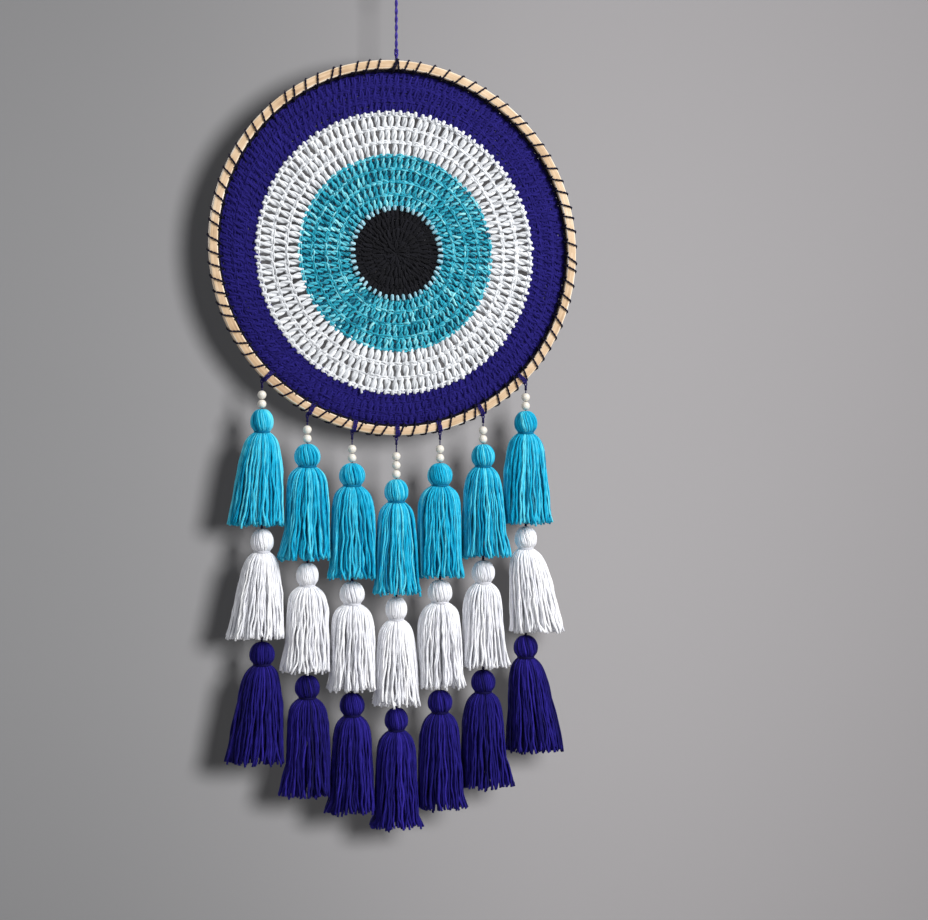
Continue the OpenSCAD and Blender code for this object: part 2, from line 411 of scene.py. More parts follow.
def pearl():
    """A pearl coat: cream body under a clear gloss, with soft clouds, and painted shade that darkens it
    towards its rim as it turns from the view.
    """
    nodes = Nodes("pearl_coat")
    clouds = nodes.noise(nodes.place(), 420, 3)
    # Painted shade: the colour darkens where the surface turns away from the view.
    rim_shade = nodes.new("ShaderNodeLayerWeight")
    rim_shade.inputs["Blend"].default_value = 0.4
    tone = nodes.math("MULTIPLY_ADD", rim_shade.outputs["Facing"], 0.5, nodes.math("MULTIPLY", clouds, 0.5))
    colour = nodes.ramp(tone, [(0.1, (240, 236, 226)), (0.45, (226, 220, 208)), (0.9, (176, 170, 160))])
    nodes.set(Base_Color=colour, Roughness=0.16, Coat_Weight=1.0, Coat_Roughness=0.05, Sheen_Weight=0.1)
    nodes.bump(nodes.noise(nodes.place(), 1500, 2), 0.02 * MM)
    return nodes.material


def painted(name, colour, pale, spread, shade=0.0):
    """Painted plaster with faint clouds. shade is the share of its tone that darkens to the left.

    That darkening is paint, not light: it stands for the shade on the photo's wall."""
    steepness = 25
    shift = -0.25
    nodes = Nodes(name)
    clouds = nodes.noise(nodes.place(), spread, 5, 0.55)
    apart = nodes.new("ShaderNodeSeparateXYZ")
    nodes.link(nodes.place(), apart.inputs[0])
    slope = nodes.math("MULTIPLY_ADD", apart.outputs[0], steepness, shift)
    across = nodes.math("MULTIPLY_ADD", nodes.math("TANH", slope), 0.5 * shade, 0.5 * shade)
    tone = nodes.math("MULTIPLY_ADD", clouds, 1 - shade, across)
    nodes.set(Base_Color=nodes.ramp(tone, [(0.0, colour), (1.0, pale)]), Roughness=0.8)
    nodes.bump(nodes.noise(nodes.place(), 420, 4), 0.15 * MM, 0.35)
    return nodes.material


def see_through_behind(material):
    """Lets the wall be looked and lit through from its back, so that views from there work."""
    tree = material.node_tree
    output = next(n for n in tree.nodes if n.bl_idname == "ShaderNodeOutputMaterial")
    front = output.inputs["Surface"].links[0].from_socket
    clear = tree.nodes.new("ShaderNodeBsdfTransparent")
    mix = tree.nodes.new("ShaderNodeMixShader")
    behind = tree.nodes.new("ShaderNodeMath")
    behind.operation = "MAXIMUM"
    tree.links.new(tree.nodes.new("ShaderNodeNewGeometry").outputs["Backfacing"], behind.inputs[0])
    tree.links.new(tree.nodes.new("ShaderNodeLightPath").outputs["Is Shadow Ray"], behind.inputs[1])
    tree.links.new(behind.outputs[0], mix.inputs[0])
    tree.links.new(front, mix.inputs[1])
    tree.links.new(clear.outputs[0], mix.inputs[2])
    tree.links.new(mix.outputs[0], output.inputs["Surface"])


CORD_YARN = yarn("cord_yarn", (30, 22, 88), (60, 46, 138), (98, 84, 184), plies=3, pitch=5 * MM, sheen=0.15)
WRAP_YARN = yarn("wrap_yarn", (14, 10, 54), (30, 22, 96), (64, 54, 140), plies=3, pitch=5 * MM, sheen=0.2)
LASH_YARN = yarn("lashing_yarn", (5, 4, 14), (15, 12, 32), (36, 30, 66), plies=3, pitch=4 * MM, sheen=0.1)
THREAD = yarn("tie_thread", (8, 7, 30), (26, 21, 70), (58, 50, 120), plies=3, pitch=4 * MM, sheen=0.2)
BLACK_YARN = yarn("black_yarn", (7, 7, 10), (16, 16, 21), (30, 30, 38), sheen=0.1)
TURQUOISE_YARN = yarn("turquoise_yarn", (0, 84, 110), (38, 170, 194), (160, 236, 242), sheen=0.25)
PALE_YARN = yarn("pale_turquoise_yarn", (84, 146, 170), (138, 190, 206), (196, 226, 236), sheen=0.2)
WHITE_YARN = yarn("white_yarn", (187, 190, 194), (223, 226, 230), (243, 245, 247), sheen=0.15)
BLUE_YARN = yarn("blue_yarn", (20, 14, 82), (27, 20, 101), (38, 31, 122), sheen=0.25)
TASSEL_YARNS = {
    "cyan": yarn("cyan_tassel_yarn", (0, 106, 149), (0, 175, 215), (102, 220, 240), sheen=0.1),
    "white": yarn("white_tassel_yarn", (224, 225, 233), (240, 241, 246), (250, 250, 252), sheen=0.15),
    "navy": yarn("navy_tassel_yarn", (10, 6, 60), (17, 10, 96), (44, 34, 140), sheen=0.1),
}
WOOD = wood()
PEARL = pearl()

# ----------------------------------------
# Camera

VIEW_AZIMUTH = math.radians(-14.3)
CAMERA_DISTANCE = 1.45
SEEN_WIDTH = 0.751
AIM = np.array([0.056, 0, HOOP_Z - 0.1697])

camera_data = bpy.data.cameras.new("camera")
camera_data.sensor_width = 36
camera_data.lens = camera_data.sensor_width * CAMERA_DISTANCE / SEEN_WIDTH
camera_data.clip_start = 0.05
camera = bpy.data.objects.new("camera", camera_data)
camera.location = AIM + CAMERA_DISTANCE * np.array([math.sin(VIEW_AZIMUTH), -math.cos(VIEW_AZIMUTH), 0])
camera.rotation_euler = (math.radians(90), 0, VIEW_AZIMUTH)
bpy.context.scene.collection.objects.link(camera)
bpy.context.scene.camera = camera

# ----------------------------------------
# Yarn paths that many pieces share


def smooth(points, count):
    """A smooth open line through a few points, at even distances."""
    points = np.asarray(points, float)
    padded = np.concatenate([2 * points[:1] - points[1:2], points, 2 * points[-1:] - points[-2:-1]])
    fine = []
    for i in range(1, len(padded) - 2):
        a, b, c, d = padded[i - 1 : i + 3]
        t = np.linspace(0, 1, 24, endpoint=False)[:, None]
        fine.append(
            0.5 * (2 * b + (c - a) * t + (2 * a - 5 * b + 4 * c - d) * t**2 + (3 * b - a - 3 * c + d) * t**3)
        )
    fine = np.concatenate([*fine, points[-1:]])
    length = run_length(fine)
    even = np.linspace(0, length[-1], count)
    return np.stack([np.interp(even, length, fine[:, axis]) for axis in range(3)], axis=-1)


def plied(path, strands, off_centre, turn_length):
    """Strands that wind round a path, as (strands, points, 3)."""
    path = np.asarray(path, float)
    across, up = frames_along(path[None])
    length = run_length(path)
    phase = 2 * np.pi * (length / turn_length + np.arange(strands)[:, None] / strands)
    return path + off_centre * (
        np.cos(phase)[..., None] * across + np.sin(phase)[..., None] * up
    )


def ring_path(middle, radius, axis, count=48, narrow=1.0):
    """A loop about an axis ("X" stands edge-on, "Y" faces the front, and may be narrow)."""
    turn = np.linspace(0, 2 * np.pi, count)
    a, b = radius * np.cos(turn), radius * np.sin(turn)
    flat = 0 * turn
    columns = {"X": (flat, a, b), "Y": (narrow * a, flat, b)}[axis]
    return np.stack(columns, axis=-1) + middle


def twisted(path, diameter, turn_length, sides=8, tint=0.5, strands=2):
    """A twisted cord of the given diameter along a path."""
    strand_r = diameter / 2 * (0.52 if strands == 2 else 0.46)
    wound = plied(path, strands, diameter / 2 - strand_r, turn_length)
    return tubes(wound, strand_r, sides, np.full(strands, tint) + 0.08 * np.arange(strands))


def knot(middle, radius, strand_r, turns, tint=0.5, stretch=1.0):
    """A tied knot: yarn wound over itself in a ball that slowly tips over."""
    t = np.linspace(0, 1, 26 * turns)
    round_angle = 2 * np.pi * turns * t
    tip = np.pi * t + 0.4
    winding_r = radius - strand_r
    a = winding_r * np.cos(round_angle)
    b = winding_r * np.sin(round_angle)
    x = a
    y = b * np.cos(tip)
    z = b * np.sin(tip) * stretch
    lean = 0.5
    path = np.stack([x * np.cos(lean) + z * np.sin(lean), y, z * np.cos(lean) - x * np.sin(lean)], axis=-1)
    return tubes((path + middle)[None], strand_r, 7, [tint])


# ----------------------------------------
# The hanging cord, its eye and its knots

CORD_D = 2.6 * MM
LINK_D = 1.3 * MM
LINK_R = 2.2 * MM
CORD_KNOT_R = 3.2 * MM
THREAD_D = 1 * MM
THREAD_LINK_R = 1.8 * MM


def hanging_cord():
    low, high = corners("hanging_cord")
    link_middle = np.array([0, 0, low[2] + LINK_R + LINK_D / 2])
    shaft_bottom = link_middle + [0, 0, LINK_R]
    route = np.linspace([0, 0, high[2]], shaft_bottom, 30)
    fine = np.linspace(route[0], route[-1], 110)
    shaft = [twisted(fine, CORD_D, 13 * MM, 10)]
    end = [
        tubes(ring_path(link_middle, LINK_R, "Y", narrow=0.45)[None], 0.75 * MM, 8),
        knot(shaft_bottom + [0, 0, 0.4 * MM], 1.8 * MM, 0.65 * MM, 4),
    ]
    cord = piece("hanging_cord_yarn", shaft, CORD_YARN, "cord", ["hanging_cord"])
    loop = piece("hanging_cord_loop", end, CORD_YARN, "cord")


def hanging_eye():
    """The whipped yarn eye: a ring core wrapped closely with yarn, and the knot under it."""
    bore, half_length = 6 * MM, 1.2 * MM
    core_r = bore + half_length
    knot_middle = np.array([0, 0, -(bore + 2 * half_length) - CORD_KNOT_R + half_length])
    turn = np.linspace(0, 2 * np.pi, 900)
    wraps = 34
    whip_r = 0.62 * MM
    away = half_length - whip_r
    spin = wraps * turn
    radius = core_r + away * np.cos(spin)
    whip = np.stack([radius * np.cos(turn), away * np.sin(spin), radius * np.sin(turn)], axis=-1)
    core = ring_path(np.zeros(3), core_r, "Y", 72)
    link = ring_path(knot_middle - [0, 0, CORD_KNOT_R - LINK_D / 2 + LINK_R], LINK_R, "X")
    parts = [
        tubes(core[None], 0.85 * MM, 10, [0.2]),
        tubes(whip[None], whip_r, 7),
        knot(knot_middle, CORD_KNOT_R, 0.85 * MM, 6),
        tubes(link[None], LINK_D / 2, 8),
    ]
    piece("hanging_eye_yarn", parts, CORD_YARN, "hanger", ["hanging_eye"])


def cord_knot():
    low, high = corners("cord_knot")
    link = ring_path([0, 0, high[2] - LINK_R - LINK_D / 2], LINK_R, "Y", narrow=0.45)
    middle = np.array([0, 0, low[2] + CORD_KNOT_R])
    parts = [tubes(link[None], LINK_D / 2, 8), knot(middle, CORD_KNOT_R, 0.85 * MM, 7, 0.55)]
    piece("cord_knot_yarn", parts, CORD_YARN, "knot", ["cord_knot"])


# ----------------------------------------
# The columns' threads


def tie_span(k, tier):
    """The heights between which a tassel's thread runs, from its pivot to the next one's."""
    joint_names = [f"column_swing_{k}", f"white_swing_{k}", f"navy_swing_{k}"]
    start = pivot(joint_names[tier])[2]
    if tier < 2:
        return start, pivot(joint_names[tier + 1])[2]
    return start, start - 36 * MM


def column_body(k, tier, name):
    return f"column_{k}" if tier == 0 else f"{name}_{k}"


def tie_thread(k, tier, name):
    """One length of a column's thread: its loops, its shaft, and the knot under the head."""
    start, end = tie_span(k, tier)
    x = COLUMN_X[k]
    hook = THREAD_LINK_R - THREAD_D / 2
    top_link = np.array([x, 0, start + THREAD_D / 2 + 0.12 * MM - THREAD_LINK_R])
    shaft_top = top_link[2] - THREAD_LINK_R
    fine = np.linspace([x, 0, shaft_top], [x, 0, end + 2 * hook if tier < 2 else end], 120)
    head_top = top(f"{name}_tassel_{k}")
    parts = [
        tubes(ring_path(top_link, THREAD_LINK_R, "X", 28)[None], THREAD_D / 2, 7),
        twisted(fine, 1.2 * MM, 4.5 * MM, 6),
        knot(np.array([x, 0, shaft_top + 0.4 * MM]), 1.1 * MM, 0.5 * MM, 3),
        knot(np.array([x, 0, head_top - 24 * MM]), 2.2 * MM, 0.7 * MM, 3),
    ]
    if tier < 2:
        low_link = np.array([x, 0, end + THREAD_LINK_R])
        parts.append(tubes(ring_path(low_link, THREAD_LINK_R, "Y", 28, 0.5)[None], THREAD_D / 2, 7))
    body = column_body(k, tier, name)
    tie = piece(f"{name}_thread_{k}", parts, THREAD, body, [f"{name}_tie_{k}"])


hanging_cord()
hanging_eye()
cord_knot()
for k in COLUMNS:
    for tier, name in enumerate(TIERS):
        tie_thread(k, tier, name)

# ----------------------------------------
# The crochet


def on_cloth(angle, radius, depth):
    """A point of the cloth. Its rounds are centred on the eye, and the rim on the hoop."""
    share = np.clip((BLUE_R - radius) / (BLUE_R - WHITE_R), 0, 1)
    z = HOOP_Z + (EYE_Z - HOOP_Z) * share
    depth = depth + 1.4 * MM * np.clip(1 - share * 3, 0, 1) ** 0.7 + 1.0 * MM * np.clip(1 - share * 8, 0, 1)
    angle, radius, depth = np.broadcast_arrays(angle, radius, depth)
    return np.stack([radius * np.cos(angle), depth, z + radius * np.sin(angle)], axis=-1)


def rounds(inner, outer, counts):
    """The rounds of one colour: inner radius, outer radius, stitches."""
    edges = np.linspace(inner, outer, len(counts) + 1)
    return list(zip(edges[:-1], edges[1:], counts))


def stitch_angles(count, rng):
    step = 2 * np.pi / count
    return (np.arange(count) + rng.random()) * step + rng.normal(0, 0.07, count) * step


def posts(row, angles, strand_r, spread, relief, rng, twist, tones, points=12):
    """The upright of every stitch in a round: two strands wound about each other.

    The stitches are a little slacker at the upper left."""
    inner, outer, count = row
    t = np.linspace(0, 1, points)[None]
    n = len(angles)
    radius = inner - 1.1 * MM + (outer - inner + 1.5 * MM) * t + rng.normal(0, 0.15, (n, 1)) * MM
    room = np.pi * radius / count
    half = np.minimum(spread, np.maximum(room - strand_r * 0.95, 0.25 * MM))
    half = half * (0.72 + 0.28 * np.sin(np.pi * np.clip(t * 1.15, 0, 1)))
    half = half * (1 - 0.24 * np.clip(np.cos(angles - math.radians(140)), 0, 1))[:, None]
    start = rng.normal(0.25, 0.3, (n, 1))
    turn = np.pi * twist * (t + rng.normal(0, 0.05, (n, 1)))
    middle_depth = 0.9 * MM * (1 - t) ** 2 - 0.55 * MM * np.sin(np.pi * t) + 0.1 * MM
    lean = rng.normal(0, 0.5, (n, 1)) * MM * (t - 0.5)
    parts = []
    for strand in (0, 1):
        phase = np.pi * (start + strand) + turn
        side = half * np.cos(phase) + lean
        depth = middle_depth - relief * half * np.sin(phase)
        path = on_cloth(angles[:, None] + side / radius, radius, depth)
        thick = strand_r * (1 + rng.normal(0, 0.05, (n, 1))) * np.minimum(1, 0.55 + room / (3.2 * strand_r))
        parts.append(tubes(path, thick + 0 * t, 7, 0.5 + rng.normal(0, tones, n)))
    return parts


def chains(row, angles, strand_r, bow, lift, rng, tone, tones, points=9):
    """The row of V shapes along the top of a round, two strands for each stitch."""
    inner, outer, count = row
    t = np.linspace(0, 1, points)[None]
    n = len(angles)
    step = 2 * np.pi / count
    parts = []
    for side in (-1, 1):
        angle = angles[:, None] + step * (1.1 * t - 0.55) * (1 + rng.normal(0, 0.08, (n, 1)))
        wander = rng.normal(0, 0.25, (n, 1)) * MM + rng.normal(0.3, 0.6, (n, 1)) * MM * (t - 0.5)
        radius = outer + side * bow * (0.2 + 1.1 * t) * np.sin(np.pi * (0.12 + 0.8 * t)) + wander
        hump = np.sin(np.pi * t) ** 0.7
        depth = 0.7 * MM - lift * (1.25 if side < 0 else 0.9) * hump + rng.normal(0, 0.15, (n, 1)) * MM
        thick = strand_r * (0.8 + 0.25 * np.sin(np.pi * t)) * (1 + rng.normal(0, 0.08, (n, 1)))
        parts.append(tubes(on_cloth(angle, radius, depth), thick, 7, tone + rng.normal(0, tones, n)))
    return parts


def carried(inner, outer, step, strand_r, depth, rng, tone):
    """Rounds of yarn carried along behind the stitches, which close the cloth. Their tone is set darker than
    the stitches', as painted shade behind them.
    """
    parts = []
    for middle in np.arange(inner + 0.8 * strand_r, outer + 0.1 * MM, step):
        bumps = round(2 * np.pi * middle / (5 * MM))
        turn = np.linspace(0, 2 * np.pi, bumps * 6 + 1)
        waves = sum(rng.normal(0, 0.15) * MM * np.sin(n * turn + rng.random() * 6) for n in (5, 9, 17, 31))
        bump_turn = bumps * turn + rng.random() * 6
        across = waves + 0.4 * MM * np.sin(bump_turn)
        path = on_cloth(turn, middle + across, depth + 0.45 * MM * np.cos(bump_turn))
        parts.append(tubes(path[None], strand_r, 6, tone + rng.normal(0, 0.05, 1)))
    return parts


def nubs(angles, start, end, thick, depth, rng, points=10):
    """Short round-ended loops that lie over the next colour."""
    t = 1 - (1 - np.linspace(0, 1, points)[None]) ** 1.8
    n = len(angles)
    reach = start + (end - start) * t * (1 + rng.normal(0, 0.08, (n, 1)))
    swell = np.sqrt(np.clip(1 - (np.abs(t - 0.4) / 0.61) ** 5, 0.03, 1))
    bend = rng.normal(0, 0.5, (n, 1)) * MM * t
    path = on_cloth(angles[:, None] + bend / reach, reach, depth + 0.5 * MM * t**2)
    return tubes(path, thick * swell * (1 + rng.normal(0, 0.08, (n, 1))), 8, 0.55 + rng.normal(0, 0.1, n))


def crochet():
    """The four rings, worked outwards, and the loops on two of their edges.

    One strand of each upright makes the stitches piece, which replaces the CAD sheet. The other strands are
    its loops piece."""
    rng = np.random.default_rng(7)
    colours = {
        "pupil": dict(
            rows=rounds(1.4 * MM, PUPIL_R, (10, 28, 42, 54)), yarn=BLACK_YARN, slot="black_yarn",
            strand=1.05 * MM, spread=1.1 * MM, relief=0.35, twist=1.3, chain=0.8 * MM,
            bow=0.9 * MM, lift=0.5 * MM, chain_tone=0.5, tones=0.08,
            back=1.3 * MM, back_step=2.1 * MM, back_depth=0.9 * MM, back_shade_tone=0.4,
        ),
        "turquoise_ring": dict(
            rows=rounds(PUPIL_R, TURQUOISE_R, (58, 70, 82, 92)), yarn=TURQUOISE_YARN,
            slot="turquoise_yarn", strand=1.0 * MM, spread=1.2 * MM, relief=0.75, twist=2.1,
            chain=0.85 * MM, bow=1.1 * MM, lift=1.4 * MM, chain_tone=0.46, tones=0.17,
            back=1.25 * MM, back_step=2.45 * MM, back_depth=1.7 * MM, back_shade_tone=0.02,
        ),
        "white_ring": dict(
            rows=rounds(TURQUOISE_R, WHITE_R, (94, 106, 118)), yarn=WHITE_YARN, slot="white_yarn",
            strand=1.35 * MM, spread=1.2 * MM, relief=0.75, twist=1.3, chain=1.0 * MM, bow=1.15 * MM,
            lift=1.4 * MM, chain_tone=0.5, tones=0.13, back=0, back_step=0,
            back_depth=0, back_shade_tone=0,
        ),
        "blue_ring": dict(
            rows=rounds(WHITE_R, BLUE_R, (132, 140, 148)), yarn=BLUE_YARN, slot="blue_yarn",
            strand=1.2 * MM, spread=1.4 * MM, relief=0.3, twist=1.5, chain=1.05 * MM,
            bow=1.0 * MM, lift=0.9 * MM, chain_tone=0.45, tones=0.1,
            back=1.45 * MM, back_step=2.15 * MM, back_depth=0.7 * MM, back_shade_tone=0.45,
        ),
    }
    overlap = 1 * MM
    for node, c in colours.items():
        post_parts, other_parts = [], []
        for row in c["rows"]:
            angles = stitch_angles(row[2], rng)
            front = posts(
                row, angles, c["strand"], c["spread"], c["relief"], rng, c["twist"], c["tones"]
            )
            post_parts += front[:1]
            other_parts += front[1:]
            other_parts += chains(
                row, angles, c["chain"], c["bow"], c["lift"], rng, c["chain_tone"], c["tones"]
            )
        inner, outer = c["rows"][0][0], c["rows"][-1][1]
        # The carried rounds get a darker tone than the stitches: painted shade behind the cloth.
        if c["back"]:
            other_parts += carried(
                inner, outer, c["back_step"], c["back"], c["back_depth"], rng, c["back_shade_tone"]
            )
        cloth = piece(f"{node}_stitches", post_parts, c["yarn"], "hoop", [node])
        loops = piece(f"{node}_loops", other_parts, c["yarn"], "hoop")
        if node == "blue_ring":
            inner -= overlap
            outer += overlap
    teeth = stitch_angles(118, rng)
    spikes = stitch_angles(46, rng)
    edge = nubs(teeth, WHITE_R - 0.6 * MM, WHITE_R + 3.1 * MM, 1.45 * MM, -1.6 * MM, rng)
    tail_t = np.linspace(0, 1, 10)
    tail_angle = math.radians(-105)
    tail_depth = -2.4 * MM - 1.2 * MM * tail_t**2
    tail = on_cloth(tail_angle + 0.012 * tail_t, WHITE_R + (1 + 5 * tail_t) * MM, tail_depth)
    piece("white_edge_loops", [edge, tubes(tail[None], 0.95 * MM, 7)], WHITE_YARN, "hoop")
    spike_part = nubs(spikes, PUPIL_R + 1.2 * MM, PUPIL_R - 3.2 * MM, 1.4 * MM, -1.6 * MM, rng)
    piece("turquoise_edge_loops", [spike_part], PALE_YARN, "hoop")


# ----------------------------------------
# The hoop, its lashing and its wraps


def on_hoop(angle, radius, depth):
    angle, radius, depth = np.broadcast_arrays(angle, radius, depth)
    return np.stack([radius * np.cos(angle), depth, HOOP_Z + radius * np.sin(angle)], axis=-1)


def hoop_section(extra=0.0, bevel=1.1 * MM, arc=5):
    """The outline of the hoop's section, as radius and depth, pushed out by extra."""
    inner, outer, half = HOOP_INNER_R, HOOP_R, HOOP_HALF_DEPTH
    line = []
    middles = [
        (outer - bevel, -half + bevel, -90),
        (outer - bevel, half - bevel, 0),
        (inner + bevel, half - bevel, 90),
        (inner + bevel, -half + bevel, 180),
    ]
    for radius, depth, start in middles:
        for a in np.radians(np.linspace(start, start + 90, arc)):
            r = bevel + extra
            line.append((radius + r * np.cos(a), depth + r * np.sin(a)))
    return np.array(line)


def hoop():
    section = hoop_section()
    segments = 480
    turn = np.arange(segments) * 2 * np.pi / segments
    rng = np.random.default_rng(3)
    uneven = sum(rng.normal(0, 0.06) * MM * np.sin(n * turn + rng.random() * 6) for n in range(3, 12))
    angle = turn[None]
    radius = section[:, :1] + uneven[None] * 0.5
    points = on_hoop(angle, radius, section[:, 1:])
    lengths = run_length(section)
    v = np.concatenate([lengths, [lengths[-1] + 2 * MM]])
    u = np.arange(segments + 1) / segments * 2 * np.pi * HOOP_R
    body = grid(points, u, v, close_rows=True, close_columns=True)
    arc = 5
    # The bevels get a high tint: a painted highlight along the hoop's edges.
    edge = np.isin(np.arange(len(section)) % arc, (1, 2, 3))
    body.tints = np.repeat(np.where(edge, 0.86, 0.42), segments)
    piece("hoop_wood", [body], WOOD, "hoop", ["hoop"])


def around_hoop(angle_at, thread_r, inner_r, corner_points=4):
    """A thread's way round the hoop's section once, from the front at inner_r.

    angle_at gives the angle for a share of the way."""
    section = hoop_section(thread_r + 0.12 * MM, 0.9 * MM, corner_points)
    line = np.concatenate(
        [[[inner_r, -1.8 * MM]], section[-1:], section[:-1], [[inner_r, 1.8 * MM]]]
    )
    length = run_length(line)
    share = length / length[-1]
    return on_hoop(angle_at(share), line[:, 0], line[:, 1])


def lashing():
    """One thread that goes through the cloth's edge and round the hoop again and again, and a dark ring of
    it along the hoop's inner edge, which covers where the turns enter the cloth and is painted shade for the
    hoop's shadow there.
    """
    rng = np.random.default_rng(11)
    turns = 86
    step = 2 * np.pi / turns
    starts = np.pi / 2 - (np.arange(turns) + 0.5) * step + rng.normal(0, 0.1, turns) * step
    paths = []
    for i, start in enumerate(starts):
        following = starts[i + 1] if i + 1 < turns else starts[0] - 2 * np.pi
        slant = rng.uniform(0.5, 0.85) * step
        front_share = 0.36

        def angle_at(share, start=start, following=following, slant=slant):
            front = start - slant * np.clip(share / front_share, 0, 1)
            back = np.clip((share - front_share) / (1 - front_share), 0, 1)
            return front + (following - (start - slant)) * back

        paths.append(around_hoop(angle_at, 0.5 * MM, HOOP_INNER_R - 2.2 * MM))
    line = np.concatenate(paths)
    line = smooth(line, turns * 34)
    lash = twisted(line, 1.8 * MM, 6 * MM, 7)
    # A dark ring along the inner edge: it hides where the thread enters the cloth, and is painted shade for
    # the hoop's shadow on the cloth.
    shade_ring_r = HOOP_INNER_R - 0.9 * MM
    edge = twisted(on_hoop(np.linspace(0, 2 * np.pi, 500), shade_ring_r, -0.6 * MM), 2.2 * MM, 8 * MM, 7, 0.3)
    piece("lashing_thread", [lash, edge], LASH_YARN, "hoop", ["lashing"])


def wrap_turns(angle, turns, width, strand_r, spread_in=0.0, seed=1):
    """Yarn wound side by side round the hoop, as one line."""
    rng = np.random.default_rng(seed)
    offsets = (np.arange(turns) - (turns - 1) / 2) * width
    paths = []
    for i, offset in enumerate(offsets):
        following = offsets[i + 1] if i + 1 < turns else offset

        def angle_at(share, offset=offset, following=following):
            return angle + (offset + (following - offset) * share) / HOOP_R

        paths.append(around_hoop(angle_at, strand_r, HOOP_INNER_R - 0.7 * MM))
    line = np.concatenate(paths)
    line[:, 1] += 0.05 * MM * np.sin(np.arange(len(line)) + rng.random())
    return smooth(line, turns * 44)


def column_wraps():
    """The wraps that carry the columns, each with a knot and the loop that its column hangs in."""
    parts = []
    for k in COLUMNS:
        x = COLUMN_X[k]
        link_z = pivot(f"column_swing_{k}")[2] + THREAD_LINK_R
        angle = math.atan2(link_z - HOOP_Z, x)
        parts.append(twisted(wrap_turns(angle, 3, 1.35 * MM, 0.66 * MM, seed=k), 1.4 * MM, 7 * MM, 7, 0.55))
        outward = np.array([math.cos(angle), 0, math.sin(angle)])
        parts.append(knot(outward * (HOOP_R + 1.0 * MM) + [0, 0, HOOP_Z], 1.5 * MM, 0.55 * MM, 4))
        link = ring_path([x, 0, link_z], THREAD_LINK_R, "Y", 28, 0.5)
        parts.append(tubes(link[None], THREAD_D / 2, 7))
    piece("column_wrap_yarn", parts, WRAP_YARN, "hoop", ["column_wraps"])


def hoop_hitch():
    """The cord's yarn round the hoop's top: two runs that part towards the inside."""
    legs = []
    for side in (-1, 1):
        path = around_hoop(lambda share: math.pi / 2 + 0 * share, 0.8 * MM, HOOP_INNER_R - 0.6 * MM)
        inwards = (HOOP_Z + HOOP_R - path[:, 2]) / HOOP_W
        to_the_left = 1.5 * inwards * (path[:, 1] < 0)
        path[:, 0] = (side * (0.5 + 2.0 * np.clip(inwards, 0, 1)) - to_the_left) * MM
        closed = np.concatenate([path, path[:1]])
        legs.append(twisted(smooth(closed, 80), 1.6 * MM, 7 * MM, 7))
    low, high = corners("hoop_hitch")
    link_middle = np.array([0, 0, high[2] - LINK_R - LINK_D / 2])
    link = tubes(ring_path(link_middle, LINK_R, "X")[None], LINK_D / 2, 8)
    piece("hoop_hitch_yarn", [link], CORD_YARN, "hoop", ["hoop_hitch"])
    piece("hoop_hitch_legs", legs, LASH_YARN, "hoop")


# ----------------------------------------
# The pearls


def pearls():
    bead_r = 3.5 * MM
    hole_r = 0.8 * MM
    for k in COLUMNS:
        node = f"pearls_{k}"
        low, high = corners(node)
        count = round((high[2] - low[2]) / (2 * bead_r))
        pitch = (high[2] - low[2] - 2 * bead_r) / (count - 1)
        lip = math.asin(hole_r / bead_r)
        outside = np.linspace(lip + 0.12, math.pi - lip - 0.12, 30)
        profile = [(hole_r, bead_r * math.cos(lip) - 0.55 * MM), (hole_r, bead_r * math.cos(lip) - 0.2 * MM)]
        profile += [(hole_r + 0.12 * MM, bead_r * math.cos(lip) - 0.04 * MM)]
        profile += [(bead_r * math.sin(a), bead_r * math.cos(a)) for a in outside]
        profile += [(r, -z) for r, z in profile[2::-1]]
        profile += profile[:1]
        for i in range(count):
            middle = np.array([COLUMN_X[k], 0, low[2] + bead_r + i * pitch])
            bead = piece(
                f"pearl_{k}_{i + 1}", [lathe(profile[::-1], middle, 44)], PEARL, f"pearls_{k}"
            )
            if i == 0:
                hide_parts(node)


# ----------------------------------------
# The tassels

HEAD_R = 10.5 * MM
STRAND_R = 0.88 * MM
HEAD_STRAND_R = 1.05 * MM
NECK_R = 6.9 * MM
NECK_LENGTH = 1.4 * MM
# Below a head's top: where its skirt is reckoned to start, and where it is wider than the head
SKIRT_START = 19 * MM
HEAD_END = 24 * MM
# Each tassel's head width as a share of the widest, its shoulders in mm, and its lean
SHAPES = {
    "cyan": [
        (0.86, 13.6, -0.05), (1.0, 15.6, -0.03), (1.0, 15.4, 0.03), (0.92, 14.2, 0.0),
        (0.97, 16.4, 0.0), (0.92, 13.6, 0.01), (0.9, 14.4, 0.01),
    ],
    "white": [
        (0.86, 13.2, -0.05), (0.84, 15.4, -0.01), (0.95, 16.4, -0.01), (0.82, 13.2, 0.0),
        (0.95, 16.0, 0.01), (0.9, 14.4, 0.0), (0.86, 14.0, 0.15),
    ],
    "navy": [
        (0.95, 14.0, -0.06), (0.95, 15.2, 0.0), (0.95, 14.0, -0.02), (0.9, 14.4, 0.0),
        (0.95, 14.4, 0.01), (0.95, 14.4, 0.02), (0.95, 13.6, 0.1),
    ],
}


def soft_clamp(x, low, high):
    """Holds x between two limits, with a soft shoulder."""
    limit = np.where(x < 0, -low, high)
    return limit * np.sign(x) * np.tanh((np.abs(x) / limit) ** 3) ** (1 / 3)


def skirt_radius(down, length, neck_r, first, last):
    """How far the skirt's outer strands are from its middle, at a distance below the neck."""
    spread = neck_r + (first - neck_r) * (1 - np.exp(-down / (5 * MM)))
    return spread + (last - first) * np.clip(down / length, 0, 1) ** 1.2


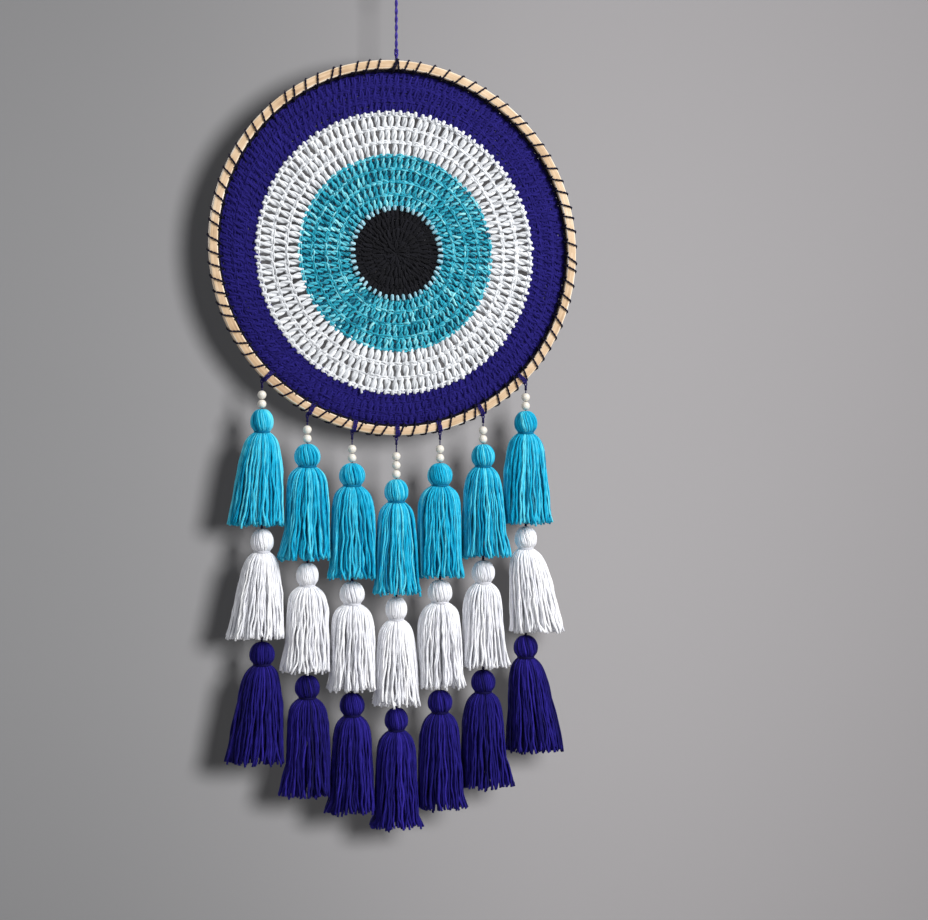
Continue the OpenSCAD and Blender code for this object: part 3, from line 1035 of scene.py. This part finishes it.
def column_half_width(k, z):
    """How wide a column is at each height: thread, heads and skirts."""
    width = np.full(np.shape(z), 3 * MM)
    for name in TIERS:
        low, high = corners(f"{name}_tassel_{k}")
        down = high[2] - z
        on_head = (down > -1 * MM) & (down < HEAD_END)
        on_skirt = (down >= HEAD_END) & (z > low[2] - 4 * MM)
        first = SHAPES[name][k - 1][1] * MM
        down = np.clip(down - SKIRT_START, 0, None)
        length = high[2] - low[2] - SKIRT_START
        skirt = skirt_radius(down, length, NECK_R, first, 20 * MM) + STRAND_R
        width = np.where(on_head, 11 * MM, width)
        width = np.where(on_skirt, skirt, width)
    return width


def room_beside(k, side, z):
    """How far a column's strands may reach towards the next column at each height."""
    if k + side not in COLUMNS:
        return np.full(np.shape(z), 34 * MM)
    pitch = abs(COLUMN_X[k + side] - COLUMN_X[k])
    above = np.linspace(0, 24, 9) * MM
    widths = [column_half_width(k + side, z + h) for h in above]
    beside = np.maximum(np.mean(widths, axis=0), np.minimum(widths[0], 18 * MM))
    return np.maximum(pitch / 2, pitch - beside) - STRAND_R - 0.2 * MM


def tassel(k, tier, name):
    rng = np.random.default_rng(1000 + 10 * k + tier)
    node = f"{name}_tassel_{k}"
    low, high = corners(node)
    head_top = high[2]
    length = high[2] - low[2]
    head_share, first, lean = SHAPES[name][k - 1]
    neck_r = NECK_R * head_share
    neck_z = -HEAD_R - math.sqrt(HEAD_R**2 - (NECK_R + STRAND_R) ** 2)
    neck_end = neck_z - NECK_LENGTH

    layers = {1.0: 34, 0.97: 34, 0.84: 46, 0.66: 34, 0.36: 16}
    shares = np.concatenate([np.full(m, share) for share, m in layers.items()])
    n = len(shares)
    over = layers[1.0]
    outer = shares == 1.0
    first_turn = rng.random()
    offsets = [first_turn, first_turn + 0.5 / over, *rng.random(3)]
    within = np.concatenate([np.arange(m) / m + o for m, o in zip(layers.values(), offsets)])
    phi = 2 * np.pi * within + rng.normal(0, 0.035, n)

    # The head: the outer strands go over the top, with a slant
    slant = rng.normal(0.5, 0.15)
    tilt_end = np.pi - math.asin((NECK_R + STRAND_R) / HEAD_R)
    tilt = np.linspace(0.16, tilt_end, 13)
    narrowing = 1 - (1 - head_share) * np.minimum(1, 1.4 * np.sin(tilt))
    head_r = (HEAD_R - HEAD_STRAND_R) * np.sin(tilt) * narrowing
    head_z = -HEAD_R + (HEAD_R - HEAD_STRAND_R * 0.7) * np.cos(tilt)
    head_phi = phi[outer][:, None] + slant * (tilt / tilt_end - 1)[None]

    # The skirt
    down = np.linspace(0, 1, 26)[1:] ** 1.15 * (length + neck_end)
    down = np.concatenate([[0, NECK_LENGTH], NECK_LENGTH + down])
    ends = rng.normal(0, 1.3, n) * MM
    ends = ends - np.clip(rng.exponential(1.2, n), 0, 6) * MM * (rng.random(n) < 0.3)
    stretch = 1 + (ends / (length + neck_end))[:, None] * np.clip(down / length, 0, 1)[None]
    drop = down[None] * stretch
    below = np.clip(drop - NECK_LENGTH, 0, None)
    clumps = rng.integers(13, 18)
    clump_phi = 2 * np.pi * (np.arange(clumps) + rng.normal(0, 0.2, clumps)) / clumps
    nearest = np.argmin(np.abs(np.angle(np.exp(1j * (phi[:, None] - clump_phi[None])))), axis=1)
    pull = np.angle(np.exp(1j * (clump_phi[nearest] - phi)))
    grown = np.clip(below / (45 * MM), 0, 1)
    strength = rng.uniform(0.0, 0.3, clumps)[nearest]
    angle = phi[:, None] + (pull * strength)[:, None] * grown
    last = (23.5 + rng.uniform(-1.5, 2)) * MM
    reach = skirt_radius(below, length + neck_end, neck_r, first * MM, last) / neck_r
    spread = rng.normal(1, 0.06, n)[:, None]
    radius = (neck_r * shares)[:, None] * (1 + (reach - 1) * (1 + (spread - 1) * grown))
    envelope = np.clip(below / (22 * MM), 0, 1)
    for scale, size in ((1.0, 0.4), (0.45, 0.16)):
        wave = rng.uniform(30, 60, n)[:, None] * MM * scale
        outwards = np.sin(2 * np.pi * (below / wave + rng.random(n)[:, None]))
        radius = radius + size * MM * envelope * outwards
        sideways = np.sin(2 * np.pi * (below / wave + rng.random(n)[:, None]))
        angle = angle + size * MM / (12 * MM) * envelope * sideways
    curl = np.clip((below / (length + neck_end) - 0.86) / 0.14, 0, 1) ** 2
    radius = radius + (rng.normal(0.2, 0.9, n) * MM)[:, None] * curl
    angle = angle + rng.normal(0, 0.07, n)[:, None] * curl
    lean = lean + rng.normal(0, 0.008)
    x = radius * np.cos(angle)
    widen = 1 + 0.9 * abs(lean) * np.clip(below / (60 * MM), 0, 1)
    x = x * np.where(x * lean > 0, 1 + 0.35 * (widen - 1), 1) + lean * below
    z = neck_z - drop
    held_in = rng.random(n)[:, None] * 1.2 * MM
    left = room_beside(k, -1, z + head_top) - held_in
    right = room_beside(k, 1, z + head_top) - held_in
    x = soft_clamp(x, -left, right)
    y = 0.76 * radius * np.sin(angle)
    skirt = np.stack([x, y, z], axis=-1)

    # Strands thin under the binding and are full below it
    filling = 0.7 + 0.3 * np.clip(below / (6 * MM), 0, 1)
    skirt_thick = STRAND_R * filling * rng.normal(1, 0.07, n)[:, None]
    head_heights = np.broadcast_to(head_z, head_phi.shape)
    head = np.stack([head_r * np.cos(head_phi), head_r * np.sin(head_phi), head_heights], axis=-1)
    fullness = 0.45 + 0.55 * np.clip(np.sin(tilt) * 1.5, 0, 1)
    head_thick = HEAD_STRAND_R * fullness * rng.normal(1, 0.07, (over, 1))
    head_thick[:, -2:] = STRAND_R * np.array([0.85, 0.72])
    # About one strand in six is made paler: painted highlights. The rest differ in tone at random.
    tint = 0.5 + rng.normal(0, 0.17, n) + 0.28 * (rng.random(n) < 0.16)
    place = np.array([COLUMN_X[k], 0, head_top])
    outer_paths = np.concatenate([head, skirt[outer]], axis=1) + place
    outer_thick = np.concatenate([head_thick, skirt_thick[outer]], axis=1)
    # A core fills the head, in the yarn's darkest tone: painted shade between the head's strands.
    core_tilt = np.linspace(0.01, np.pi - 0.6, 16)
    core_r = HEAD_R - 1.5 * MM
    core = [(head_share * core_r * math.sin(a), core_r * math.cos(a) - HEAD_R) for a in core_tilt]
    core.append((0.1 * MM, neck_z - 3 * MM))
    parts = [
        tubes(outer_paths, outer_thick, 7, tint[outer]),
        tubes(skirt[~outer] + place, skirt_thick[~outer], 6, tint[~outer]),
        lathe(core[::-1], place, 28, 0.05),
    ]
    body = column_body(k, tier, name)
    piece(f"{name}_tassel_yarn_{k}", parts, TASSEL_YARNS[name], body, [node])

    # The binding: tight turns, almost hidden in the crease of the neck, in a dark tone that is painted shade
    # in that crease
    turns = 3
    turn = np.linspace(0, 2 * np.pi * turns, 40 * turns)
    bind_r = neck_r + 0.1 * MM
    bind = np.stack(
        [bind_r * np.cos(turn), bind_r * np.sin(turn), neck_z - NECK_LENGTH * turn / turn[-1]], axis=-1
    )
    binding = tubes((bind + place)[None], 0.42 * MM, 6, [0.1])
    piece(f"{name}_binding_{k}", [binding], TASSEL_YARNS[name], body)


hoop()
crochet()
lashing()
column_wraps()
hoop_hitch()
pearls()
for k in COLUMNS:
    for tier, name in enumerate(TIERS):
        tassel(k, tier, name)

# ----------------------------------------
# The room and the lights


def plane(name, width, height, place, turn, material):
    bpy.ops.mesh.primitive_grid_add(x_subdivisions=4, y_subdivisions=4, size=1)
    obj = bpy.context.object
    obj.name = name
    obj.scale = (width, height, 1)
    obj.rotation_euler = turn
    obj.location = place
    obj.data.materials.append(material)
    return obj


FLOOR_Z = -1.1
WALL_Y = 0.36
wall_paint = painted("wall_paint", (73, 73, 74), (109, 107, 108), 3, 0.85)
see_through_behind(wall_paint)
wall = plane("wall", 6, 3.2, (0, WALL_Y, FLOOR_Z + 1.6), (math.radians(90), 0, 0), wall_paint)
plane("floor", 6, 6, (0, 0, FLOOR_Z), (0, 0, 0), painted("floor_paint", (158, 157, 156), (168, 167, 166), 4))


def light_group(name, link_state):
    """The wall alone, or everything but the wall, for lights that are kept apart."""
    group = bpy.data.collections.new(name)
    group.objects.link(wall)
    group.collection_objects[0].light_linking.link_state = link_state
    return group


WALL_ONLY = light_group("wall_only", "INCLUDE")
ALL_BUT_WALL = light_group("all_but_wall", "EXCLUDE")


def area_light(name, place, aim, size, power, colour=(1, 1, 1), lit=None, shading=None):
    """A round soft light. lit and shading are the groups that it lights and that shade it."""
    data = bpy.data.lights.new(name, "AREA")
    data.shape = "DISK"
    data.size = size
    data.energy = power
    data.color = colour
    light = bpy.data.objects.new(name, data)
    light.location = place
    direction = np.array(aim) - np.array(place)
    flat = math.hypot(direction[0], direction[1])
    light.rotation_euler = (
        math.atan2(flat, -direction[2]),
        0,
        math.atan2(direction[1], direction[0]) - math.pi / 2,
    )
    light.light_linking.receiver_collection = lit
    light.light_linking.blocker_collection = shading
    bpy.context.scene.collection.objects.link(light)


# The wall is far enough back for the tassels to swing. Lights that reach it alone bring the shadow
# close to the part in the main view; from other sides that shadow falls away from the part.
area_light("key", (1.5, -1.7, 0.75), (0.05, 0, -0.35), 1.3, 86, (1, 0.99, 0.98), ALL_BUT_WALL)
area_light("fill", (-1.4, -1.9, 0.1), (0, 0, -0.4), 1.6, 8, (0.95, 0.97, 1), ALL_BUT_WALL)
area_light("back", (-0.9, 1.9, 0.5), (0, 0, -0.35), 1.4, 24)
beside_camera = np.array(camera.location) + (0.11, 0, 0.035)
area_light("wall_near", beside_camera, (0, WALL_Y, -0.36), 0.1, 78, (1, 1, 1), WALL_ONLY)
area_light("wall_soft", (1.5, -0.9, 0.5), (0.35, WALL_Y, -0.1), 1.2, 16, (1, 0.99, 1), WALL_ONLY)

world = bpy.data.worlds.new("world")
world.use_nodes = True
background = world.node_tree.nodes["Background"]
background.inputs["Color"].default_value = (0.80, 0.82, 0.86, 1)
background.inputs["Strength"].default_value = 0.25
bpy.context.scene.world = world
bpy.context.scene.view_settings.view_transform = "Standard"
